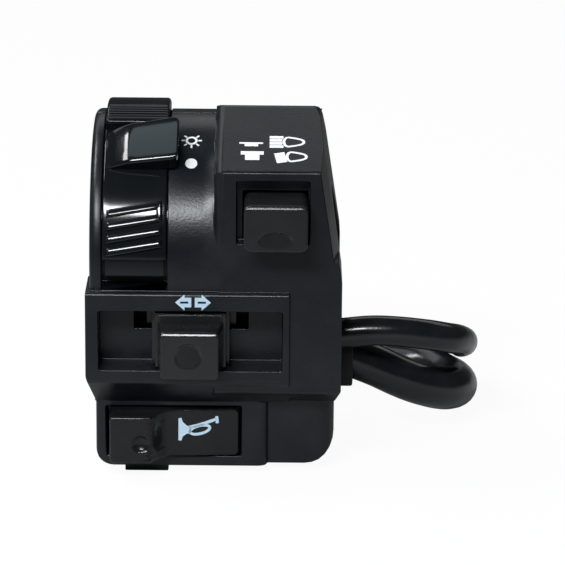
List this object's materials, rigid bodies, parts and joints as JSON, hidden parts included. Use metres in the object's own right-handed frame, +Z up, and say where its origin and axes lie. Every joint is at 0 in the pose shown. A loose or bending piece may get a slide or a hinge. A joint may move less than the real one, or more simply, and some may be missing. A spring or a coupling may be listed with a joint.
{
  "type": "handlebar switch cluster",
  "caption": "Black moulded handlebar switch cluster that clamps a bar, with a lighting lever, dimmer button, sliding turn knob, rocking horn button and sleeved cords.",
  "frame": {"origin": "on the handlebar's axis, at the middle of the housing's width", "axes": "+X along the handlebar towards the side where the cords leave, +Y away from the rider, +Z up"},
  "size_m": [0.0811, 0.2027, 0.0724],
  "materials": {
    "housing_black": "satin, fine moulded grain",
    "lever_black": "gloss",
    "button_black": "satin gloss",
    "zinc_steel": "zinc plated",
    "spring_steel": "drawn wire",
    "brass": "stamped",
    "phenolic": "pressed board",
    "acetal": "smooth",
    "wire_red": "insulated wire",
    "grommet_rubber": "matte",
    "sleeve_pvc": "soft gloss",
    "tie_nylon": "smooth",
    "plug_nylon": "smooth"
  },
  "bodies": {
    "housing": {"front_housing": "housing_black", "rear_housing": "housing_black", "clamp_screws": "zinc_steel", "light_base": "phenolic", "light_contacts": "brass", "lever_ball": "zinc_steel", "lever_spring": "spring_steel", "dimmer_spring": "spring_steel", "dimmer_base": "phenolic", "dimmer_contacts": "brass", "turn_base": "phenolic", "turn_contacts": "brass", "horn_pin": "zinc_steel", "horn_spring": "spring_steel", "horn_leaf": "brass", "horn_base": "phenolic", "horn_contact": "brass", "base_screws": "zinc_steel", "inner_wires": "wire_red", "grommet": "grommet_rubber", "upper_sleeve": "sleeve_pvc", "lower_sleeve": "sleeve_pvc", "lower_hank": "sleeve_pvc", "cord_tie": "tie_nylon", "upper_connector": "plug_nylon", "lower_connector": "plug_nylon"},
    "light_lever": {"light_lever": "lever_black", "light_bridge": "brass"},
    "dimmer_button": {"dimmer_button": "button_black", "dimmer_bridge": "brass"},
    "turn_knob": {"turn_knob": "button_black", "turn_slider": "acetal", "turn_bridge": "brass", "turn_ball": "zinc_steel", "turn_spring": "spring_steel"},
    "horn_button": {"horn_button": "button_black"}
  },
  "joints": [
    {"name": "light_lever_turn", "type": "hinge", "parent": "housing", "child": "light_lever", "pos_m": [0, 0, 0], "axis": [1, 0, 0], "range_deg": [0, 13]},
    {"name": "dimmer_push", "type": "slide", "parent": "housing", "child": "dimmer_button", "axis": [0, 1, 0], "range_m": [0, 0.003]},
    {"name": "turn_slide", "type": "slide", "parent": "housing", "child": "turn_knob", "axis": [1, 0, 0], "range_m": [-0.005, 0.005]},
    {"name": "horn_press", "type": "hinge", "parent": "housing", "child": "horn_button", "pos_m": [0.00345, -0.0192, -0.0349], "axis": [0, 0, -1], "range_deg": [0, 7], "stiffness_Nm_per_rad": 0.3, "springref_deg": -1.72}
  ]
}
